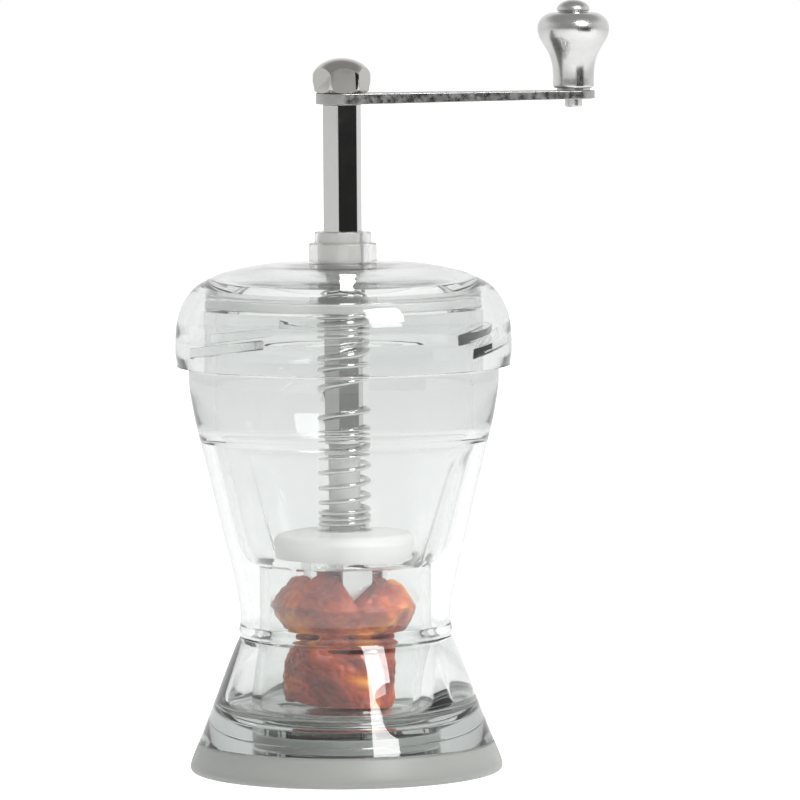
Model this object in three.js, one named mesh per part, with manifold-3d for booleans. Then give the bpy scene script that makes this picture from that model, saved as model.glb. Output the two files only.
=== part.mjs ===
// Clear crank mill for whole dried chillies: a spring-loaded plunger with claws presses the
// load on to a slotted blade in the foot while the crank turns it.
// Millimetres, +Z up. The origin is on the mill's axis, in the plane that it stands on,
// and the crank arm points along +X.
import * as THREE from "three";
import { mergeVertices } from "three/addons/utils/BufferGeometryUtils.js";
import Module from "manifold-3d";

const wasm = await Module();
wasm.setup();

// ---- driving dimensions ----
const ROUND = 40; // facets round a large turned surface
const SMALL_ROUND = 24; // facets round a small one
const GAP = 0.2; // clearance between faces that slide or turn
const TURN = Math.PI * 2;
const degrees = THREE.MathUtils.degToRad;

// levels along the axis, from the bottom up
const Z = {
  capFloor: 1.4,
  capTop: 5.8,
  footBottom: 6,
  carrierBottom: 7.6,
  carrierFlangeTop: 9.2,
  carrierTop: 9.6,
  bladeBottom: 9.7,
  bladeTop: 10.3,
  webTop: 10.8,
  footTop: 27.2,
  funnelBottom: 42,
  pusherBottom: 43.6,
  pusherTop: 48.4,
  hexBottom: 65,
  cavityTop: 66.8,
  funnelTop: 71,
  shoulder: 81.4,
  neckTop: 93.2,
  bossBottom: 94.5,
  sealRib: 94.9,
  domeTop: 102,
  collarStep: 106,
  bushTop: 108.2,
  armBottom: 133.6,
};

const CHAMBER_R = 15.4;
const TUBE_R = 17.2; // outside of the chamber's tube
const NECK_R = 27.9; // outside of the body's neck
const NECK_BORE_R = 25.6;
const LID_BORE_R = 31.2;
const COUNTERBORE_R = 20; // seat of the blade carrier and of the base cap's spigot
const WEB_BORE_R = 17.5; // the foot's floor round the chamber's tube

// the hopper narrows to the chamber between four ridges, with a scoop between each two;
// it is a thin inner wall, and the cavity between it and the outer wall opens into the foot
const LOBES = 4;
const LOBE_POWER = 1.4; // how softly a ridge rounds off
const RIDGE_TURN = 45; // degrees from the -Y side to the first ridge
const SHELL_WALL = 2.2;
const HOPPER_WALL = 1.7;
const SCOOP_DEPTH = 4.3; // from the body's outside to a scoop's deepest line
const SCOOP_FLOOR = 5; // height over which a scoop's floor curves up
const RIB_DEPTH = 0.45; // share of the foot's pocket that a rib fills

const HEX_FLATS = 7; // drive shaft across its flats
const ARM_REACH = 49; // from the shaft's axis to the knob's
const ARM_HUB_THICK = 2.2;
const ARM_TIP_THICK = 1.7;
const CLAW_R = 7.9; // outside of the claws
const CLAW_SHEET = 1.1;
const CLAW_WIDTH = 6;
const CLAW_TIP_Z = 34.6;
const CLAW_SHOULDER_Z = 38.6; // where a claw's slanted edge starts

// the lid's quick thread: short lugs on four starts
const STARTS = 3;
const LUG_TURN = -36; // degrees from +X to the middle of the first lug
const LEAD = 24; // rise for one full turn
const LUG_ARC = 40; // degrees that one lug spans
const LUG_THICK = 1.8;
const NECK_LUG_Z = 86.2; // lower edge of a neck lug at its low end

// the return spring
const WIRE_R = 0.5;
const SPRING_R = 4.85; // to the wire's centre
const CLOSED_PITCH = 1.1;
const SPRING_PITCHES = [1.1, 1.5, 3, 3.4, 3.4, 3.3, 2.6, 2.3, 2.4, 3.6, 5.2, 3.1, 2.7, 2.6, 2.6, 1.8];

// ---- materials ----
const finish = (color, roughness, metalness, opacity = 1) => () =>
  new THREE.MeshStandardMaterial({ color, roughness, metalness, opacity, transparent: opacity < 1 });

const materials = {
  clear: finish(0xdfe3e2, 0.05, 0, 0.35),
  frosted: finish(0xd6d7d5, 0.35, 0, 0.85),
  smoke: finish(0x94948f, 0.3, 0, 0.8),
  silicone: finish(0xe2e4e2, 0.5, 0, 0.7),
  chrome: finish(0xc8c8c4, 0.08, 1),
  satin: finish(0xb2b3b0, 0.28, 1),
  blade: finish(0xb9bbb8, 0.2, 1),
  chilli: finish(0x8c3d20, 0.6, 0),
};

// ---- solids and cuts ----
function toSolid(geometry) {
  const bare = geometry.index ? geometry.toNonIndexed() : geometry.clone();
  bare.deleteAttribute("normal");
  bare.deleteAttribute("uv");
  const merged = mergeVertices(bare, 1e-4);
  return new wasm.Manifold(
    new wasm.Mesh({
      numProp: 3,
      vertProperties: merged.attributes.position.array,
      triVerts: new Uint32Array(merged.index.array),
    }),
  );
}

function toGeometry(solid) {
  const mesh = solid.getMesh();
  const positions = new Float32Array(mesh.numVert * 3);
  for (let i = 0; i < mesh.numVert; i++) {
    const start = i * mesh.numProp;
    positions.set(mesh.vertProperties.subarray(start, start + 3), i * 3);
  }
  return new THREE.BufferGeometry()
    .setAttribute("position", new THREE.BufferAttribute(positions, 3))
    .setIndex(new THREE.BufferAttribute(mesh.triVerts, 1));
}

const join = (...solids) => solids.reduce((all, one) => all.add(one));
const cut = (solid, ...tools) => tools.reduce((left, tool) => left.subtract(tool), solid);

// A turned solid from its [radius, z] outline, which closes on itself; "warp" may move its corners.
function turned(outline, sides = ROUND, warp = null) {
  let area = 0;
  outline.forEach(([r, z], i) => {
    const [nextR, nextZ] = outline[(i + 1) % outline.length];
    area += r * nextZ - nextR * z;
  });
  const ordered = area > 0 ? outline : [...outline].reverse();
  const points = [...ordered, ordered[0]].map(([r, z]) => new THREE.Vector2(r, z));
  const geometry = new THREE.LatheGeometry(points, sides).rotateX(Math.PI / 2);
  if (warp) warpRadii(geometry, warp);
  return toSolid(geometry);
}

// Scales each corner's distance from the axis to warp(radius, z, angle).
function warpRadii(geometry, warp) {
  const place = geometry.attributes.position;
  for (let i = 0; i < place.count; i++) {
    const [x, y, z] = [place.getX(i), place.getY(i), place.getZ(i)];
    const radius = Math.hypot(x, y);
    const scale = radius > 0 ? warp(radius, z, Math.atan2(y, x)) / radius : 1;
    place.setX(i, x * scale);
    place.setY(i, y * scale);
  }
}

// An upright prism; its first corner lies on the angle "turn", in degrees from +X.
function prism(sides, cornerRadius, zLow, zHigh, turn = 0) {
  const geometry = new THREE.CylinderGeometry(cornerRadius, cornerRadius, zHigh - zLow, sides)
    .rotateX(Math.PI / 2)
    .rotateZ(Math.PI / 2 + degrees(turn))
    .translate(0, 0, (zLow + zHigh) / 2);
  return toSolid(geometry);
}

const rod = (radius, zLow, zHigh, sides = SMALL_ROUND) => prism(sides, radius, zLow, zHigh);
const hex = (flats, zLow, zHigh, turn = 0) => prism(6, flats / Math.sqrt(3), zLow, zHigh, turn);
const square = (side, zLow, zHigh) => prism(4, side / Math.SQRT2, zLow, zHigh, 45);

function block(xLow, xHigh, yLow, yHigh, zLow, zHigh) {
  const geometry = new THREE.BoxGeometry(xHigh - xLow, yHigh - yLow, zHigh - zLow);
  geometry.translate((xLow + xHigh) / 2, (yLow + yHigh) / 2, (zLow + zHigh) / 2);
  return toSolid(geometry);
}

// Sets a drawn outline upright: its x becomes y, its y becomes z, and its depth runs on along x.
function sideways(xLow) {
  const matrix = new THREE.Matrix4();
  matrix.makeBasis(
    new THREE.Vector3(0, 1, 0),
    new THREE.Vector3(0, 0, 1),
    new THREE.Vector3(1, 0, 0),
  );
  return matrix.setPosition(xLow, 0, 0);
}

const turnSolid = (solid, angle) => solid.rotate([0, 0, angle]);
const around = (count, make) => Array.from({ length: count }, (_, i) => make((360 / count) * i));

// Points of an arc in a turned outline, from one angle to the other, in degrees.
function arc(centreR, centreZ, radiusR, radiusZ, from, to, steps) {
  return Array.from({ length: steps + 1 }, (_, i) => {
    const angle = degrees(from + ((to - from) * i) / steps);
    return [centreR + radiusR * Math.cos(angle), centreZ + radiusZ * Math.sin(angle)];
  });
}

// One lug of the quick thread: a bar between two radii that climbs with the lead.
function threadLug(innerR, outerR, zLow) {
  const bar = new THREE.BoxGeometry(1, 1, LUG_THICK, 1, 8, 1);
  const place = bar.attributes.position;
  for (let i = 0; i < place.count; i++) {
    const radius = innerR + (place.getX(i) + 0.5) * (outerR - innerR);
    const share = place.getY(i); // from -0.5 to 0.5 along the lug
    const angle = degrees(LUG_ARC) * share;
    const climb = (LEAD * (LUG_ARC / 360)) * (share + 0.5);
    place.setXYZ(
      i,
      radius * Math.cos(angle),
      radius * Math.sin(angle),
      zLow + LUG_THICK / 2 + place.getZ(i) + climb,
    );
  }
  return toSolid(bar);
}

// ---- housing ----
// The body's outside, from the shoulder under the lid down to the foot.
const BODY_SIDE = [
  [31.05, Z.shoulder - 0.35],
  [31, 78],
  [30.6, 75],
  [29.9, 71],
  [28.9, 66.8],
  [26.9, 58.4],
  [24.7, 49],
  [22.6, 40.4],
  [21.3, 33.6],
  [21.1, 30.8],
  [21.4, 28.6],
  [21.2, Z.footTop + GAP],
];

// The hopper's inside along a ridge, from the neck's bore down to the chamber.
const RIDGE_LINE = [
  [NECK_BORE_R, Z.funnelTop],
  [25.3, 69],
  [24.2, 66],
  [22.2, 62],
  [20.1, 56],
  [18.2, 50],
  [16.1, 44],
  [CHAMBER_R, Z.funnelBottom],
];

// The radius at a height on a side whose corners run from the top down.
function radiusOn(side, z) {
  const below = Math.max(side.findIndex(([, level]) => level <= z), 1);
  const [lowR, low] = side[below];
  const [highR, high] = side[below - 1];
  return THREE.MathUtils.mapLinear(z, low, high, lowR, highR);
}

// 0 on a ridge, 1 halfway between two.
function lobe(angle) {
  const fromRidge = angle + Math.PI / 2 + degrees(RIDGE_TURN);
  return Math.abs(Math.sin((LOBES / 2) * fromRidge)) ** LOBE_POWER;
}

// How far a scoop's deepest line lies outside the ridge line.
function scoopDepth(z) {
  const climb = THREE.MathUtils.clamp((z - Z.funnelBottom) / SCOOP_FLOOR, 0, 1);
  const fade = THREE.MathUtils.smoothstep(Z.funnelTop - z, 0, 9);
  const deep = Math.max(radiusOn(BODY_SIDE, z) - SCOOP_DEPTH - radiusOn(RIDGE_LINE, z), 0);
  return deep * Math.sqrt(1 - (1 - climb) ** 2) * fade;
}

function hopperWarp(radius, z, angle) {
  const inHeight = z > Z.funnelBottom && z < Z.funnelTop;
  if (!inHeight || radius > radiusOn(RIDGE_LINE, z) + HOPPER_WALL + 0.2) return radius;
  return radius + scoopDepth(z) * lobe(angle);
}

function threadLugs(innerR, outerR, zLow) {
  return around(STARTS, (angle) => turnSolid(threadLug(innerR, outerR, zLow), LUG_TURN + angle));
}

function millBody() {
  const rises = [0.1, 0.5, 1.2, 2.2, 3.5, SCOOP_FLOOR, 8, 11, 14, 17, 20, 22, 23.4];
  const levels = rises.map((rise) => Z.funnelBottom + rise);
  const inside = [...levels, 67.2, 69].map((z) => [radiusOn(RIDGE_LINE, z), z]);
  const outside = levels.map((z) => [radiusOn(RIDGE_LINE, z) + HOPPER_WALL, z]);
  const lining = BODY_SIDE.filter(([, z]) => z > Z.footTop + 2 && z < Z.cavityTop - 1);
  const shell = turned(
    [
      [NECK_BORE_R, Z.neckTop],
      [NECK_R - 0.4, Z.neckTop],
      [NECK_R, Z.neckTop - 0.4],
      [NECK_R, Z.shoulder],
      [30.7, Z.shoulder],
      ...BODY_SIDE,
      [18.9, Z.footTop + GAP],
      ...lining.map(([r, z]) => [r - SHELL_WALL, z]).reverse(),
      [26.65, Z.cavityTop],
      [26.35, Z.cavityTop],
      ...outside.reverse(),
      [TUBE_R, Z.funnelBottom - 1.5],
      [TUBE_R, Z.carrierFlangeTop + 0.4],
      [CHAMBER_R, Z.carrierFlangeTop + 0.4],
      ...inside,
      [NECK_BORE_R, Z.funnelTop],
    ],
    ROUND,
    hopperWarp,
  );
  return join(shell, ...threadLugs(NECK_R - 0.5, NECK_R + 2.2, NECK_LUG_Z));
}

// Inside of the foot's flare, which ribs in line with the hopper's ridges stand in from.
const FLARE_INSIDE = [
  [20, 24.6],
  [25.3, Z.webTop],
];
const POCKET_R = 18.6; // inner edge of the flare's pockets
const POCKET_TOP = Z.footTop - 1.2;

function footWarp(radius, z, angle) {
  const inPocket = z > Z.webTop + 0.1 && z < POCKET_TOP && radius > POCKET_R + 0.2;
  if (!inPocket || radius > radiusOn(FLARE_INSIDE, z) + 0.2) return radius;
  const rise = THREE.MathUtils.mapLinear(z, Z.webTop, POCKET_TOP, -1, 1);
  const open = Math.sqrt(1 - rise ** 4);
  return POCKET_R + (radius - POCKET_R) * open * (1 - RIB_DEPTH * (1 - lobe(angle)));
}

function flaredFoot() {
  const pocket = [0.01, 0.03, 0.08, 0.18, 0.35, 0.55, 0.75, 0.88, 0.95, 0.985].map((share) => {
    const z = THREE.MathUtils.lerp(Z.webTop, POCKET_TOP, share);
    return [radiusOn(FLARE_INSIDE, z), z];
  });
  return turned(
    [
      [21.2, Z.footTop],
      [21.7, Z.footTop - 0.7],
      [22.5, 24.4],
      [29.6, Z.footBottom + 0.1],
      [29.5, Z.footBottom],
      [COUNTERBORE_R, Z.footBottom],
      [COUNTERBORE_R, Z.carrierFlangeTop + GAP],
      [WEB_BORE_R, Z.carrierFlangeTop + GAP],
      [WEB_BORE_R, Z.webTop],
      [POCKET_R, Z.webTop],
      ...pocket,
      [POCKET_R + 0.1, POCKET_TOP + 0.1],
      [18.9, Z.footTop],
    ],
    ROUND,
    footWarp,
  );
}

// The two cutting slots lie on either side of the axis; one is the other turned half round.
const SLOT = { xLow: -11.4, xHigh: 11.4, yLow: 2.2, yHigh: 7 };
const BLADE_SCREW_Y = 12;
const SCREW_R = 1.2;

function bladeCarrier() {
  const disc = join(
    rod(COUNTERBORE_R - GAP, Z.carrierBottom, Z.carrierFlangeTop, ROUND),
    rod(CHAMBER_R - GAP, Z.carrierFlangeTop - 0.5, Z.carrierTop, ROUND),
  );
  const windows = around(2, (angle) =>
    turnSolid(block(SLOT.xLow, SLOT.xHigh, SLOT.yLow, SLOT.yHigh, 0, Z.bladeTop), angle),
  );
  const screwHoles = around(2, (angle) =>
    turnSolid(rod(SCREW_R + 0.1, 0, Z.bladeTop, 12).translate([0, BLADE_SCREW_Y, 0]), angle),
  );
  return cut(disc, ...windows, ...screwHoles);
}

const SCREW_HEAD_R = 2.3;

function bladeDisc() {
  const lipRise = 0.8;
  // a lip bent up along the far side of each slot, with its edge over the slot
  const lip = new THREE.Shape([
    new THREE.Vector2(SLOT.yHigh + 0.2, Z.bladeBottom),
    new THREE.Vector2(SLOT.yHigh + 0.2, Z.bladeTop),
    new THREE.Vector2(SLOT.yLow + 2.2, Z.bladeTop + lipRise),
    new THREE.Vector2(SLOT.yLow + 2, Z.bladeTop + lipRise - 0.15),
  ]);
  const lipGeometry = new THREE.ExtrudeGeometry(lip, {
    depth: SLOT.xHigh - SLOT.xLow - 1.2,
    bevelEnabled: false,
  });
  lipGeometry.applyMatrix4(sideways(SLOT.xLow + 0.6));
  const disc = rod(CHAMBER_R - 0.3, Z.bladeBottom, Z.bladeTop, ROUND);
  const slots = around(2, (angle) =>
    turnSolid(block(SLOT.xLow + 0.5, SLOT.xHigh - 0.5, SLOT.yLow + 0.4, SLOT.yHigh, 0, 20), angle),
  );
  const lips = around(2, (angle) => turnSolid(toSolid(lipGeometry), angle));
  const sinks = around(2, (angle) =>
    turnSolid(rod(SCREW_HEAD_R + 0.15, 0, 20, 16).translate([0, BLADE_SCREW_Y, 0]), angle),
  );
  return cut(join(cut(disc, ...slots), ...lips), ...sinks);
}

function bladeScrew() {
  const head = turned(
    [
      [0, Z.bladeTop + 0.2],
      [SCREW_HEAD_R - 0.3, Z.bladeTop + 0.2],
      [SCREW_HEAD_R, Z.bladeTop],
      [SCREW_HEAD_R, Z.carrierTop + 0.05],
      [0, Z.carrierTop + 0.05],
    ],
    16,
  );
  const slot = block(-0.3, 0.3, -3, 3, Z.bladeTop - 0.2, Z.bladeTop + 1);
  return cut(join(head, rod(SCREW_R, Z.carrierBottom + 0.3, Z.bladeTop, 12)), slot);
}

const NOTCH_TURN = 110; // degrees from +X to the notch that a nail lifts

// Pull-off cap that closes the foot and catches what falls from the blade; its spigot holds it.
function baseCap() {
  const spigotR = COUNTERBORE_R - GAP;
  const cup = turned([
    [0, 0],
    [30.2, 0],
    [31, 0.25],
    [31.4, 0.9],
    [31.2, 2],
    [29.8, Z.capTop - 0.2],
    [29.6, Z.capTop],
    [27.6, Z.capTop],
    [28.6, Z.capFloor],
    [spigotR, Z.capFloor],
    [spigotR, Z.carrierBottom - 0.5],
    [spigotR - 0.3, Z.carrierBottom - 0.2],
    [spigotR - 1.6, Z.carrierBottom - 0.2],
    [spigotR - 1.6, Z.capFloor],
    [0, Z.capFloor],
  ]);
  const nailNotch = block(29, 33, -4, 4, Z.capTop - 1, Z.capTop + 1);
  return cut(cup, turnSolid(nailNotch, NOTCH_TURN));
}

// ---- lid ----
function lidGasket() {
  return turned([
    [NECK_BORE_R + 0.2, Z.neckTop + 0.1],
    [NECK_R - 0.3, Z.neckTop + 0.1],
    [NECK_R - 0.3, Z.sealRib - 0.1],
    [NECK_BORE_R + 0.2, Z.sealRib - 0.1],
  ]);
}

const BUSH_R = 5.1;
const LID_BUSH_BORE_R = BUSH_R + GAP;

function lid() {
  const shell = turned([
    [LID_BUSH_BORE_R, Z.domeTop + 0.1],
    [12, Z.domeTop - 0.1],
    [17.5, 101.5],
    [23.3, 100.3],
    [27, 98.9],
    [29.6, 97.3],
    [31.4, 95.3],
    [32.6, 93],
    [33.3, 90.5],
    [33.7, 86.5],
    [33.6, Z.shoulder + GAP + 0.4],
    [33.3, Z.shoulder + GAP],
    [LID_BORE_R, Z.shoulder + GAP],
    [LID_BORE_R, 89.8],
    [30.6, 91.8],
    [29.6, 93.8],
    [28.2, 95.6],
    [27.6, 96.1],
    [27.6, Z.sealRib],
    [25.8, Z.sealRib],
    [25.8, 97.1],
    [22.6, 98.3],
    [17.2, 99.4],
    [12, 99.8],
    [6.8, 99.8],
    [6.8, Z.bossBottom],
    [LID_BUSH_BORE_R, Z.bossBottom],
  ]);
  const lugZ = NECK_LUG_Z - LUG_THICK - 0.4; // just below the neck's lugs, which hold the lid down
  return join(shell, ...threadLugs(LID_BORE_R - 2.2, LID_BORE_R + 0.5, lugZ));
}

// Turns in the lid's boss and carries the shaft's hexagon round, while the shaft slides through it.
function driveBush() {
  const flangeTop = Z.bossBottom - 0.1;
  const sleeve = turned(
    [
      [0, Z.bushTop],
      [BUSH_R - 0.2, Z.bushTop],
      [BUSH_R, Z.bushTop - 0.2],
      [BUSH_R, flangeTop],
      [6.4, flangeTop],
      [6.4, flangeTop - 1.3],
      [0, flangeTop - 1.3],
    ],
    SMALL_ROUND * 1.5,
  );
  return cut(sleeve, hex(HEX_FLATS + 0.25, 0, 200));
}

// Two-step ring clipped on the bush above the lid, which keeps the bush from dropping out.
function bushCollar() {
  return turned(
    [
      [BUSH_R + 0.06, Z.domeTop + 0.3],
      [6.8, Z.domeTop + 0.3],
      [6.8, Z.collarStep - 0.3],
      [6.5, Z.collarStep],
      [5.7, Z.collarStep],
      [5.7, Z.bushTop - 0.2],
      [5.5, Z.bushTop],
      [BUSH_R + 0.06, Z.bushTop],
    ],
    SMALL_ROUND * 1.5,
  );
}

// The spring's wire: whole turns with their own pitches, closed at both ends.
const WASHER_THICK = 0.5;
const SPRING_BOTTOM = Z.pusherTop + 0.1 + WASHER_THICK + 0.1;
const SPRING_TOP = Z.bossBottom - 1.5;

class SpringLine extends THREE.Curve {
  constructor() {
    super();
    const closed = [CLOSED_PITCH];
    const free = SPRING_TOP - SPRING_BOTTOM - 2 * WIRE_R - 2 * CLOSED_PITCH;
    const drawn = SPRING_PITCHES.reduce((sum, pitch) => sum + pitch, 0);
    const fitted = SPRING_PITCHES.map((pitch) => (pitch * free) / drawn);
    this.pitches = [...closed, ...fitted, ...closed];
  }

  getPoint(t) {
    const turns = t * this.pitches.length;
    let z = SPRING_BOTTOM + WIRE_R;
    this.pitches.forEach((pitch, i) => {
      z += pitch * THREE.MathUtils.clamp(turns - i, 0, 1);
    });
    const angle = turns * TURN;
    return new THREE.Vector3(SPRING_R * Math.cos(angle), SPRING_R * Math.sin(angle), z);
  }
}

function returnSpring() {
  const sides = 5;
  const section = new THREE.Shape(
    Array.from({ length: sides }, (_, i) => {
      const angle = (TURN * i) / sides;
      return new THREE.Vector2(WIRE_R * Math.cos(angle), WIRE_R * Math.sin(angle));
    }),
  );
  const line = new SpringLine();
  return toSolid(
    new THREE.ExtrudeGeometry(section, { steps: line.pitches.length * 10, extrudePath: line }),
  );
}

// ---- plunger ----
const TENON = 5; // square on the shaft's top that the arm fits over
const STUD_R = 2.85; // round thread above the tenon, for the cap nut
const STEM_R = 2; // the shaft's lower end, inside the pusher's hub
const HUB_R = 3.2;
const CLAW_TOP = Z.pusherBottom - 0.1;
const CLAW_BOTTOM = CLAW_TOP - CLAW_SHEET;
const CLAW_NUT_THICK = 2.1;

function driveShaft() {
  const bar = hex(HEX_FLATS, Z.hexBottom, Z.armBottom);
  const stem = rod(STEM_R, Z.pusherBottom - 0.05, Z.hexBottom + 1, 16);
  const stemEnd = square(2.6, CLAW_BOTTOM - 0.5, Z.pusherBottom);
  const stemThread = rod(1.5, CLAW_BOTTOM - CLAW_NUT_THICK - 0.4, CLAW_BOTTOM, 16);
  const tenon = square(TENON, Z.armBottom - 1, Z.armBottom + ARM_HUB_THICK - 0.2);
  const stud = rod(STUD_R - 0.4, Z.armBottom, Z.armBottom + ARM_HUB_THICK + 4.2);
  return join(bar, stem, stemEnd, stemThread, tenon, stud);
}

function washer(innerR, outerR, zLow, thickness) {
  return cut(rod(outerR, zLow, zLow + thickness), rod(innerR, zLow - 1, zLow + thickness + 1));
}

function pusher() {
  const radius = 14.3;
  const edge = 2;
  return turned([
    [STEM_R + 0.15, Z.hexBottom - 0.1],
    [HUB_R - 0.3, Z.hexBottom - 0.1],
    [HUB_R, Z.hexBottom - 0.4],
    [HUB_R, Z.pusherTop],
    ...arc(radius - edge, Z.pusherTop - edge, edge, edge, 90, 0, 4),
    [radius, Z.pusherBottom + 0.3],
    [radius - 0.3, Z.pusherBottom],
    [STEM_R + 0.15, Z.pusherBottom],
  ]);
}

// A claw's outline across the sheet, with its tip on one side like a saw tooth; "room" grows it.
function clawOutline(room = 0) {
  const half = CLAW_WIDTH / 2 + room;
  return new THREE.Shape([
    new THREE.Vector2(-half, CLAW_TOP + room),
    new THREE.Vector2(-half, CLAW_SHOULDER_Z - 1.4 * room),
    new THREE.Vector2(-half + 1.7, CLAW_TIP_Z - 1.6 * room),
    new THREE.Vector2(half, CLAW_SHOULDER_Z - 1.4 * room),
    new THREE.Vector2(half, CLAW_TOP + room),
  ]);
}

// The outline as a slab between two radii, facing the angle given.
function clawSlab(innerR, outerR, angle, room = 0) {
  const slab = new THREE.ExtrudeGeometry(clawOutline(room), {
    depth: outerR - innerR,
    bevelEnabled: false,
  });
  slab.applyMatrix4(sideways(innerR));
  return turnSolid(toSolid(slab), angle);
}

const CLAWS = 4;

function clawPlate() {
  const reach = CLAW_R - 0.02;
  const half = CLAW_WIDTH / 2;
  const cross = join(
    block(-reach, reach, -half, half, CLAW_BOTTOM, CLAW_TOP),
    block(-half, half, -reach, reach, CLAW_BOTTOM, CLAW_TOP),
  );
  const claws = around(CLAWS, (angle) => clawSlab(CLAW_R - CLAW_SHEET, CLAW_R, angle));
  return cut(join(cross, ...claws), square(2.9, 0, 200));
}

function clawNut() {
  const top = CLAW_BOTTOM - 0.1;
  const blank = hex(5.5, top - CLAW_NUT_THICK, top, 10);
  return cut(blank, square(2.9, top - 0.6, 100), rod(1.6, 0, 100, 16));
}

// ---- crank ----
const TIP_R = 4.3;
const HUB_END_R = 5.2;

function crankArm() {
  const outline = new THREE.Shape();
  outline.absarc(0, 0, HUB_END_R, degrees(91), degrees(269), false);
  outline.absarc(ARM_REACH, 0, TIP_R, degrees(-89), degrees(89), false);
  outline.closePath();
  const plate = new THREE.ExtrudeGeometry(outline, {
    depth: ARM_HUB_THICK,
    bevelEnabled: false,
    curveSegments: 14,
  });
  // thinner towards the knob, from both faces
  const taperEnd = ARM_REACH - TIP_R;
  const place = plate.attributes.position;
  for (let i = 0; i < place.count; i++) {
    const along = (place.getX(i) - HUB_END_R) / (taperEnd - HUB_END_R);
    const share = THREE.MathUtils.clamp(along, 0, 1);
    const thin = ((ARM_HUB_THICK - ARM_TIP_THICK) / 2) * share;
    const z = place.getZ(i) > ARM_HUB_THICK / 2 ? ARM_HUB_THICK - thin : thin;
    place.setZ(i, Z.armBottom + 0.05 + z);
  }
  return cut(
    toSolid(plate),
    square(TENON + 0.3, 0, 200),
    rod(PIN_NECK_R + 0.1, 0, 200, 16).translate([ARM_REACH, 0, 0]),
  );
}

function capNut() {
  const bottom = Z.armBottom + 0.1 + ARM_HUB_THICK;
  const corner = 10 / Math.sqrt(3);
  const dome = turned(
    [
      [0, bottom],
      [corner - 0.8, bottom],
      [corner, bottom + 0.7],
      ...arc(0, bottom + 2.9, corner + 0.1, 4, 0, 80, 5),
      [0, bottom + 6.95],
    ],
    24,
  );
  const body = hex(10, bottom - 1, bottom + 10, -11).intersect(dome);
  return cut(body, rod(STUD_R - 0.3, bottom - 1, bottom + 4.6));
}

const PIN_R = 1.75;
const PIN_NECK_R = 1.25;
const ARM_TIP_TOP = Z.armBottom + 0.05 + (ARM_HUB_THICK + ARM_TIP_THICK) / 2;
const KNOB_BOTTOM = ARM_TIP_TOP + 0.5;
const KNOB_HEIGHT = 15.2;

function knobPin() {
  const headZ = KNOB_BOTTOM + KNOB_HEIGHT + 0.1;
  const armUnder = ARM_TIP_TOP - ARM_TIP_THICK;
  return turned(
    [
      [0, armUnder - 1.7],
      [1.5, armUnder - 1.7],
      [1.8, armUnder - 1.4],
      [1.8, armUnder - 0.05],
      [PIN_NECK_R, armUnder - 0.05],
      [PIN_NECK_R, ARM_TIP_TOP + 0.05],
      [PIN_R, ARM_TIP_TOP + 0.05],
      [PIN_R, headZ],
      [3, headZ],
      ...arc(0, headZ + 0.4, 3.3, 2, 0, 80, 4),
      [0, headZ + 2.4],
    ],
    16,
  ).translate([ARM_REACH, 0, 0]);
}

function knobWasher() {
  return washer(PIN_R + 0.15, 3.4, ARM_TIP_TOP + 0.05, 0.4).translate([ARM_REACH, 0, 0]);
}

// Waisted grip: narrow stem, full head, flat seat on top for the pin's head.
function knob() {
  const bore = PIN_R + 0.15;
  const outline = [
    [bore, 0],
    [3.9, 0],
    [4.2, 0.3],
    [4.1, 2],
    [4.2, 4],
    [4.5, 5.6],
    [5.1, 7.2],
    [6, 8.7],
    [6.8, 10.1],
    [7.2, 11.7],
    [7, 13],
    [6.3, 14.1],
    [5.2, 14.9],
    [4, KNOB_HEIGHT],
    [bore, KNOB_HEIGHT],
  ];
  return turned(outline, 24).translate([ARM_REACH, 0, KNOB_BOTTOM]);
}

// ---- the load: two whole dried chillies ----
// A turned blank with its radius varied round the axis, for a lumpy, shrunken fruit.
function fruit(outline, lumps) {
  const points = outline.map(([r, z]) => new THREE.Vector2(r, z));
  const blank = new THREE.LatheGeometry(points, 28).rotateX(Math.PI / 2);
  const place = blank.attributes.position;
  for (let i = 0; i < place.count; i++) {
    const angle = Math.atan2(place.getY(i), place.getX(i));
    const swell = lumps.reduce(
      (sum, [count, size, phase]) => sum + size * Math.cos(count * (angle - degrees(phase))),
      1,
    );
    place.setX(i, place.getX(i) * swell);
    place.setY(i, place.getY(i) * swell);
  }
  return toSolid(blank);
}

function upperChilli() {
  const flesh = fruit(
    [
      [0, 25.7],
      [8.4, 25.8],
      [10.4, 26.8],
      [12, 28.8],
      [13.6, 32],
      [14, 33.8],
      [12.6, 36],
      [10.8, 37.6],
      [8.2, 39],
      [5.4, 40],
      [0, 40.4],
    ],
    [
      [2, 0.045, -20],
      [3, 0.025, 40],
      [5, 0.012, 10],
    ],
  );
  const room = 0.4;
  const innerR = CLAW_R - CLAW_SHEET - room;
  const pockets = [0, 90, 180].map((angle) => clawSlab(innerR, CLAW_R + room, angle, room));
  const openPocket = clawSlab(innerR, 18, 270, room);
  const nutRoom = rod(4, CLAW_BOTTOM - CLAW_NUT_THICK - 0.9, 60, 16);
  const plateRoom = rod(20, CLAW_BOTTOM - 0.3, 60, 16);
  return cut(flesh, ...pockets, openPocket, nutRoom, plateRoom);
}

function lowerChilli() {
  return fruit(
    [
      [0, 11.5],
      [8.2, 11.6],
      [10.2, 12.6],
      [10.9, 15],
      [11.2, 18.4],
      [11.1, 22],
      [10.4, 24.2],
      [8, 25.3],
      [0, 25.4],
    ],
    [
      [1, 0.06, 150],
      [3, 0.04, 70],
      [4, 0.02, 20],
    ],
  );
}

// ---- assembly ----
const group = new THREE.Group();

function add(name, solid, material) {
  const mesh = new THREE.Mesh(toGeometry(solid), material());
  mesh.name = name;
  group.add(mesh);
}

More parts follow.
